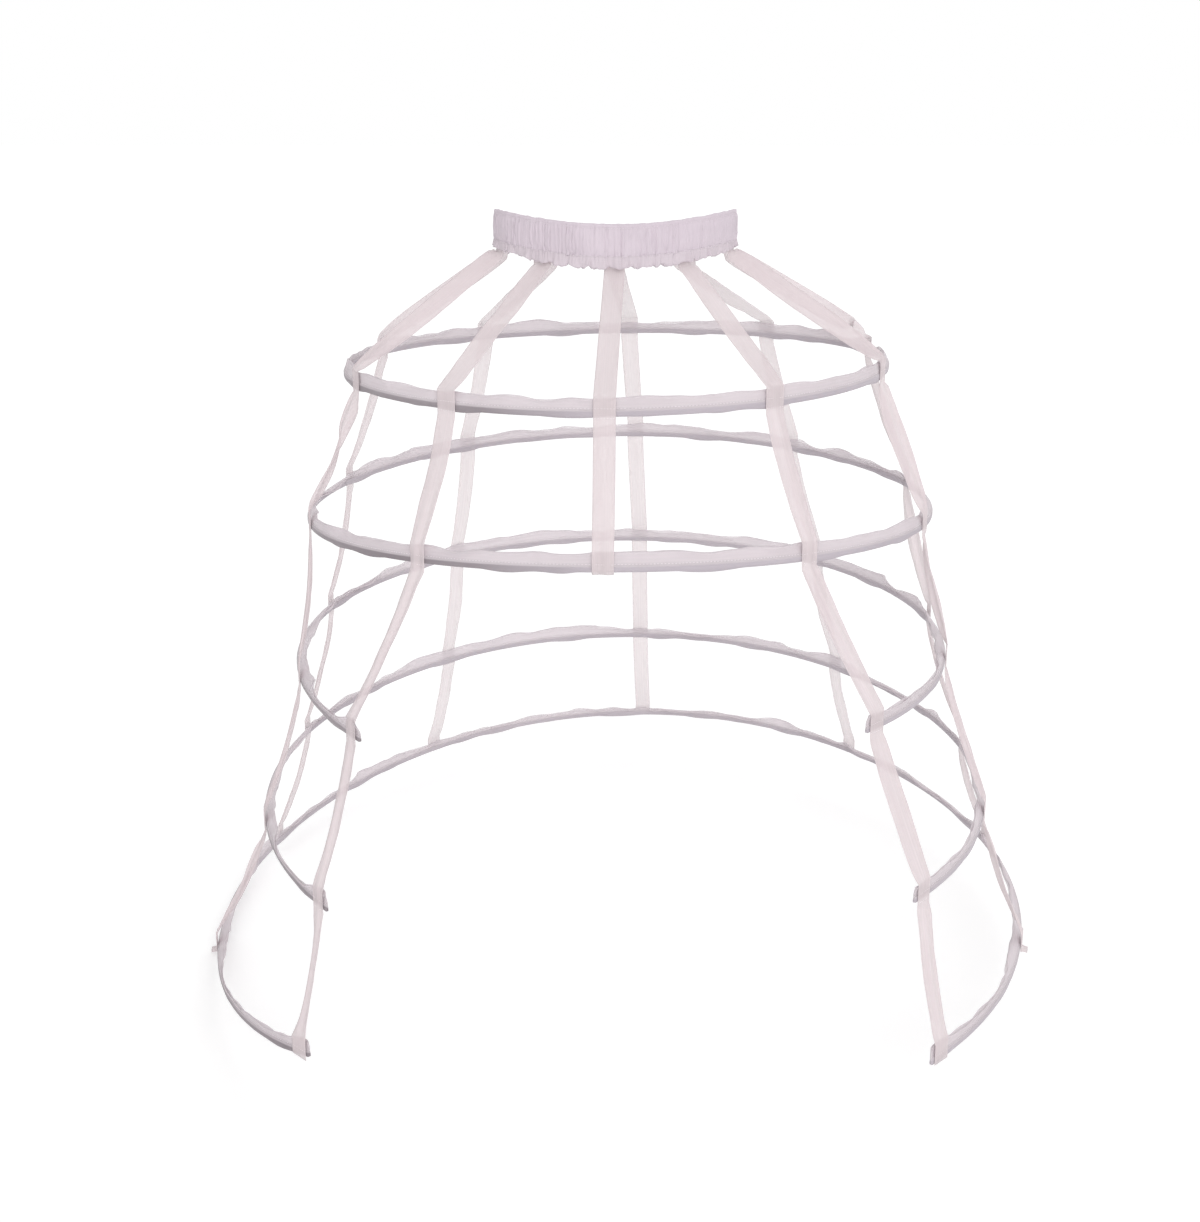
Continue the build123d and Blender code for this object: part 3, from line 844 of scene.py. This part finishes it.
def strap_rows(name, index, wide):
    """Sections of one ribbon, with its sag, turn, curl and creases, and its length."""
    path = strap_path(name, index)
    edge_wave = ripple(index + 21.0, (0.085, 0.0005), (0.031, 0.0002))
    bow_wave = ripple(index + 31.0, (0.14, 0.0006))
    curl_wave = ripple(index + 41.0, (0.19, 0.0007), (0.085, 0.0003))
    rows = []
    length = 0.0
    first_hoop = next(k for k, part in enumerate(path) if k > WAIST_SECTIONS and part[4] == 0.0)
    for k, (centre, across, turn, width, free) in enumerate(path):
        down = (path[min(k + 1, len(path) - 1)][0] - path[max(k - 1, 0)][0]).normalized()
        across = (across - down * across.dot(down)).normalized()
        out = across.cross(down)
        if k:
            length += (centre - path[k - 1][0]).length
        if out.dot(Vector((centre.x, centre.y, -0.2 * centre.z))) < 0:
            out = -out
        front = FRONT - down * FRONT.dot(down)
        to_front = atan2(down.dot(out.cross(front)), out.dot(front))
        if abs(to_front) > pi / 2:
            to_front -= pi if to_front > 0 else -pi
        swing = Matrix.Rotation(turn * to_front, 3, down)
        across = swing @ across
        out = swing @ out
        bow = (bow_wave(length) - (BOW if k > first_hoop else TOP_BOW)) * free
        pleat = wide * width / CREASES
        crease = min(0.86 * pleat * (2 * (1 / width ** 2 - 1)) ** 0.5 / (2 * pi), 0.0006 + 0.003 * free)
        wander = noise.noise(Vector((index * 5.0, length * 9, 1.0))) * 1.2
        row = []
        for j in range(ACROSS + 1):
            share = j / ACROSS * 2 - 1
            cup = curl_wave(length) * (share * share - 0.4) + edge_wave(length + 0.03 * share) * share
            fold = crease * sin(pi * CREASES * share + wander + index)
            row.append(centre + across * (wide / 2 * width * share)
                       + out * (bow + cup * min(1, free * 3) + fold))
        rows.append(row)
    return rows, length


def build_straps(setup):
    """The ribbon of each strap, and the stitches that hold it to the hoops."""
    cloth = sheer_finish("sheer strap ribbon", setup.ribbon_light, setup.ribbon_dark, setup.cover,
                         setup.ribbon_width)
    for index, name in enumerate(STRAP_NAMES):
        rows, length = strap_rows(name, index, setup.ribbon_width)
        ribbon = thicken(skin(f"ribbon_{name}", rows))
        place(ribbon, cloth, f"strap_{name}")
        tacks = []
        for hoop in crossed(name):
            turn = hoop.crossings[name]
            along = hoop.along(turn)
            centre = hoop.point(turn) + hoop.outward(turn) * (STRAP_OFFSET + CLOTH / 2)
            tacks += [[centre + along * (TACK_STEP * t) + UP * level for t in range(-6, 7)]
                      for level in TACK_LEVELS]
        tack = sew(f"tacks_{name}", tacks, 0.0024, 0.0018)


# Waistband
def band_point(turn, inset, below):
    """A point round the band: inset from its mean outer face, below its top edge."""
    x = (WAIST_HALF_WIDTH - inset) * sin(turn)
    y = -(WAIST_HALF_DEPTH - inset) * cos(turn)
    return Vector((x, y, band_height(x, y) - below))


def ring_noise(turn, scale, level):
    """Soft noise round the band."""
    return noise.noise(Vector((cos(turn) * scale, sin(turn) * scale, level)))


def gathers(turn, count):
    """Phase and depth of the waistband's gathers, which are calmer on the right of the front."""
    wander = ring_noise(turn, 9, 0.3) * 5 + ring_noise(turn, 26, 5.3) * 2.4
    size = 0.85 + 1.1 * ring_noise(turn, 24, 4.0)
    calm = 0.55 if CALM_FROM < wrap(degrees(turn)) < CALM_TO else 1.0
    return count * turn + wander, max(0.2, size) * calm


# Down the inside of the band, over its top edge and down the outside: how far inside the mean outer
# face, how far below the top edge, and the share of the gathers' depth
BAND_PROFILE = [
    (0.0046, 0.0300, 0.3), (0.0046, 0.0200, 0.3), (0.0046, 0.0080, 0.3), (0.0040, 0.0040, 0.2),
    (0.0030, 0.0010, 0.1), (0.0016, 0.0000, 0.0), (0.0004, 0.0008, 0.1), (0.0003, 0.0025, 0.3),
    (0.0007, 0.0040, 0.6), (0.0002, 0.0055, 0.9), (-0.0003, 0.0085, 1.0), (-0.0006, 0.0130, 1.0),
    (-0.0007, 0.0180, 1.0), (-0.0006, 0.0240, 1.0), (-0.0004, 0.0275, 1.0), (-0.0001, 0.0293, 1.0),
    (0.0000, 0.0310, 1.0), (0.0000, 0.0330, 1.0)]
ELASTIC_PROFILE = [(0.0021, 0.0048), (0.0037, 0.0048), (0.0037, 0.0240), (0.0021, 0.0240)]


def band_row(turn, setup):
    """One section of the gathered band."""
    folds, size = gathers(turn, setup.gather_count)
    row = []
    for inset, below, amount in BAND_PROFILE:
        shift = ring_noise(turn, 30, below * 150) * 3.4
        wobble = 0.0007 * ring_noise(turn, 18, 9.0)
        fade = 0.55 + 0.9 * abs(ring_noise(turn, 45, below * 170 + 7))
        depth = sin(folds + shift) * 0.5 * fade + sin(folds * 0.37 + shift * 1.5) * 0.4
        depth = depth * setup.gather_depth * size
        depth -= 0.0010 * exp(-((wrap(degrees(turn)) - SEAM_ANGLE) / SEAM_SPREAD) ** 2)
        row.append(band_point(turn, inset - depth * amount, below + wobble * (1 - below / BAND_HEIGHT)))
    return row


def frill_row(turn, setup):
    """One section of the frill, which is shorter at the sides."""
    folds, size = gathers(turn, setup.gather_count)
    wander = ring_noise(turn, 8, 2.0) * 7
    loops = 0.5 + 1.2 * abs(ring_noise(turn, 14, 7.0))
    hem = 0.0014 * sin(37 * turn + wander) + 0.0014 * ring_noise(turn, 33, 3.0)
    sides = 1 - 0.45 * sin(turn) ** 6
    row = []
    for j in range(8):
        share = j / 7
        wave = sin(folds) * 0.0005 * size * (1 - share)
        wave += sin(52 * turn + wander + share) * 0.0017 * loops * share
        wave += 0.0006 * share * sin(113 * turn + wander * 1.7)
        below = FRILL_TOP + (setup.frill_height + FRILL_EXTRA + hem) * share * sides
        row.append(band_point(turn, -0.0004 - 0.0006 * share - wave, below))
    return row


def build_band(setup):
    """The gathered band with its stitching, the frill and the elastic."""
    look = band_looks(setup)
    around = setup.gather_count * GATHER_SECTIONS
    turns = [2 * pi * i / around for i in range(around)]
    band = thicken(skin("waistband", [band_row(turn, setup) for turn in turns], loop=True), BAND_CLOTH)
    place(band, look["band"], "waist_casing")
    seam = [band_point(2 * pi * i / STITCH_SECTIONS, -0.0002, 0.0043) for i in range(STITCH_SECTIONS)]
    stitches = sew("waistband_stitches", [seam], 0.0028, 0.0019, loop=True)

    rows = [frill_row(turn, setup) for turn in turns]
    frill = thicken(skin("waistband_frill", rows, loop=True), FRILL_CLOTH)
    place(frill, look["frill"], "waist_frill")

    rows = [[band_point(2 * pi * i / ELASTIC_SECTIONS, *corner) for corner in ELASTIC_PROFILE]
            for i in range(ELASTIC_SECTIONS)]
    closed_piece("waistband_elastic", rows, look["elastic"], "waist_elastic", loop=True)


# Looks
def band_looks(setup):
    """The materials of the waistband's pieces."""
    band = Finish("gathered waistband cloth", Sheen_Weight=0.3, Sheen_Roughness=0.5, Specular_IOR_Level=0.2)
    uv, along, across = band.ribbon_place()
    threads = (along * (2 * pi / 0.0004)).math("SINE")
    weave = threads * 0.5 + (across * (2 * pi * 0.066 / 0.0004)).math("SINE") * 0.5
    drift = band.cloud(22.0, 3.0)
    fine = band.cloud(1.0, 2.0, uv, (420.0, 9.0, 1.0))
    tone = (drift * 0.8 + fine * 0.4 - 0.15).clamp()
    band.feed(Base_Color=band.mix(tone, setup.cloth_light, setup.cloth_dark), Roughness=fine * 0.2 + 0.6,
              Alpha=(fine * 0.12 + 0.88).clamp(), Normal=band.bump(weave * 0.4 + fine, 0.3, 0.0003))
    elastic = Finish("ribbed elastic", Roughness=0.75, Sheen_Weight=0.2)
    uv, along, across = elastic.ribbon_place()
    ribs = (across * (2 * pi * 26)).math("SINE")
    knit = (along * (2 * pi / 0.0012)).math("SINE")
    tone = (ribs * 0.3 + knit * 0.2 + 0.5).clamp()
    elastic.feed(Base_Color=elastic.mix(tone, linear(240, 238, 240), linear(214, 210, 214)),
                 Normal=elastic.bump(ribs + knit * 0.5, 0.5, 0.0003))
    frill = sheer_finish("waistband frill cloth", setup.frill_light, setup.frill_dark, 0.84, 0.010)
    return {"band": band.material, "elastic": elastic.material, "frill": frill}


def hoop_looks(setup):
    """The materials of the hoops' pieces."""
    return {
        "casing": casing_finish(setup),
        "bone": grained_finish("white spiral stay", setup.bone_colour, linear(190, 184, 189), (1.0, 3.0),
                               (40.0, 60.0, 1.0), (0.2, 0.38), (0.15, 0.0002), Specular_IOR_Level=0.4),
        "clip": grained_finish("brushed steel joiner", linear(196, 197, 200), linear(160, 161, 166),
                               (1.0, 3.0), (60.0, 900.0, 1.0), (0.3, 0.25), (0.2, 0.0001), Metallic=1.0),
        "tip": grained_finish("dipped end cap", linear(226, 222, 224), linear(200, 195, 199), (300.0, 2.0),
                              None, (0.2, 0.3), (0.2, 0.0002), Specular_IOR_Level=0.5),
    }


# Stage
def build_stage(setup):
    """The camera of the photograph, a white floor that is lifted for the camera, the sky and two lamps."""
    data = bpy.data.cameras.new("view camera")
    data.sensor_fit = "HORIZONTAL"
    data.sensor_width = SENSOR
    data.lens = FOCAL_PIXELS / IMAGE_WIDTH * SENSOR
    data.shift_y = (CENTRE_ROW - IMAGE_HEIGHT / 2) / IMAGE_WIDTH
    data.clip_start = 0.05
    camera = add_object("view camera", data)
    camera.location = CAMERA_PLACE
    camera.rotation_euler = (pi / 2 - CAMERA_TILT, 0, CAMERA_TURN)
    bpy.context.scene.camera = camera

    level = CAD_BOX[0][2] - 0.001
    corners = [(-14, -8, level), (14, -8, level), (14, 30, level), (-14, 30, level)]
    floor = mesh_object("floor", corners, [(0, 1, 2, 3)])
    pale = Finish("pale studio floor", Roughness=0.9, Specular_IOR_Level=0.1,
                  Emission_Strength=setup.floor_glow)
    pale.feed(Base_Color=pale.mix(pale.cloud(3.0, 2.0), linear(247, 247, 247), linear(243, 243, 243)),
              Emission_Color=pale.mix(pale.seen(), (0, 0, 0), (1, 1, 1)))
    floor.data.materials.append(pale.material)

    world = bpy.data.worlds.new("studio")
    bpy.context.scene.world = world
    world.use_nodes = True
    nodes = Nodes(world.node_tree)
    nodes.nodes.clear()
    light, white = (nodes.add("ShaderNodeBackground", inputs={"Color": (1, 1, 1, 1), "Strength": strength})
                    for strength in (setup.sky_light, 1.0))
    sky = nodes.add("ShaderNodeMixShader", inputs=[nodes.seen(), light, white])
    nodes.add("ShaderNodeOutputWorld", inputs=[sky])

    for name, spot, power in (("key light", (0.5, -2.2, 0.8), setup.key_light),
                              ("back light", (1.2, 1.8, 1.7), setup.key_light * 0.45)):
        lamp = bpy.data.lights.new(name, "SUN")
        lamp.angle = radians(50)
        lamp.energy = power
        obj = add_object(name, lamp)
        obj.location = spot
        obj.rotation_euler = (-Vector(spot)).to_track_quat("-Z", "Y").to_euler()
    bpy.context.scene.view_settings.view_transform = "Standard"


def length_setting(name, description, default):
    return FloatProperty(name=name, description=description, default=default, min=0.0, unit="LENGTH",
                         subtype="DISTANCE", precision=4)


def colour_setting(name, description, *display):
    return FloatVectorProperty(name=name, description=description, default=linear(*display), size=3, min=0.0,
                               max=1.0, subtype="COLOR")


def strength_setting(name, description, default, top=1.0):
    return FloatProperty(name=name, description=description, default=default, min=0.0, max=top,
                         subtype="FACTOR")


class WaistbandSettings(bpy.types.PropertyGroup):
    """Gathers, frill and cloth colours of the waistband."""

    gather_count: IntProperty(name="Gathers", description="Number of gathers round the waistband",
                              default=GATHER_COUNT, min=60, max=400)
    gather_depth: length_setting("Gather depth", "How far the gathers stand out", 0.0012)
    frill_height: length_setting("Frill height", "How far the frill hangs below the band", FRILL_HEIGHT)
    cloth_light: colour_setting("Cloth, lighter", "Lighter tone of the gathered cloth", 230, 218, 227)
    cloth_dark: colour_setting("Cloth, darker", "Darker tone of the gathered cloth", 208, 195, 205)
    frill_light: colour_setting("Frill, lighter", "Lighter tone of the frill", 234, 223, 230)
    frill_dark: colour_setting("Frill, darker", "Darker tone of the frill", 212, 200, 208)


class HoopSettings(bpy.types.PropertyGroup):
    """Casing height and colours of the five hoops."""

    flange_height: length_setting("Flange height", "Height of the casing's free edge above its seam",
                                  FLANGE_HEIGHT)
    casing_light: colour_setting("Casing, lighter", "Lighter tone of the casing ribbon", 246, 238, 242)
    casing_dark: colour_setting("Casing, darker", "Darker tone of the casing ribbon", 226, 216, 221)
    # Tone of the casing's tube: the bone seen through the cloth, with painted shade
    bone_and_painted_shade: colour_setting("Cased bone", "Tone of the casing where the bone shows through", 200, 191, 200)
    bone_colour: colour_setting("Bone", "Colour of the bone itself", 214, 209, 212)


class StrapSettings(bpy.types.PropertyGroup):
    """Width, cover and colours of the ten ribbons."""

    ribbon_width: length_setting("Ribbon width", "Width of each strap ribbon", STRAP_WIDTH)
    cover: strength_setting("Cover", "How much of the light the sheer ribbon stops", 0.66)
    ribbon_light: colour_setting("Ribbon, lighter", "Lighter tone of the strap ribbon", 243, 232, 234)
    ribbon_dark: colour_setting("Ribbon, darker", "Darker tone of the strap ribbon", 226, 213, 216)


class StageSettings(bpy.types.PropertyGroup):
    """How the studio is lit."""

    sky_light: strength_setting("Sky light", "Strength of the even light from all round", 0.72, 2.0)
    key_light: strength_setting("Key light", "Strength of the main soft light", 1.1, 10.0)
    floor_glow: strength_setting("Floor glow", "How much the floor is lifted to white for the camera", 0.22)


def build_operator(part, build, description):
    """An operator that runs one step of the build on the settings of its part."""
    def execute(self, context):
        build(getattr(context.scene, f"crinoline_{part}"))
        return {"FINISHED"}

    return type(f"CRINOLINE_OT_{part}", (bpy.types.Operator,), {
        "__doc__": description, "bl_idname": f"crinoline.{part}", "bl_label": f"Build {part}",
        "execute": execute})


OPERATORS = (
    build_operator("waistband", build_band, "Builds the gathered waistband, its frill and its elastic"),
    build_operator("hoops", build_hoops, "Builds the hoops' casings, bones, joiners, end caps and seams"),
    build_operator("straps", build_straps, "Builds the ten ribbon straps and the stitches that hold them"),
    build_operator("stage", build_stage, "Builds the floor, the lights and the camera"),
)


class CRINOLINE_PT_panel(bpy.types.Panel):
    """Sidebar panel that lists the settings and the steps"""

    bl_idname = "CRINOLINE_PT_panel"
    bl_label = "Crinoline cage"
    bl_space_type = "VIEW_3D"
    bl_region_type = "UI"
    bl_category = "Crinoline"

    def draw(self, context):
        for (key, settings), operator in zip(SETTINGS.items(), OPERATORS):
            box = self.layout.box()
            for prop in settings.__annotations__:
                box.prop(getattr(context.scene, key), prop)
            box.operator(operator.bl_idname)


SETTINGS = {
    "crinoline_waistband": WaistbandSettings,
    "crinoline_hoops": HoopSettings,
    "crinoline_straps": StrapSettings,
    "crinoline_stage": StageSettings,
}
CLASSES = (*SETTINGS.values(), *OPERATORS, CRINOLINE_PT_panel)


def register():
    for item in CLASSES:
        bpy.utils.register_class(item)
    for key, settings in SETTINGS.items():
        setattr(bpy.types.Scene, key, PointerProperty(type=settings))


def unregister():
    for key in SETTINGS:
        delattr(bpy.types.Scene, key)
    for item in reversed(CLASSES):
        bpy.utils.unregister_class(item)


def main():
    register()
    bpy.ops.crinoline.waistband()
    bpy.ops.crinoline.hoops()
    bpy.ops.crinoline.straps()
    bpy.ops.crinoline.stage()


if __name__ == "__main__":
    main()
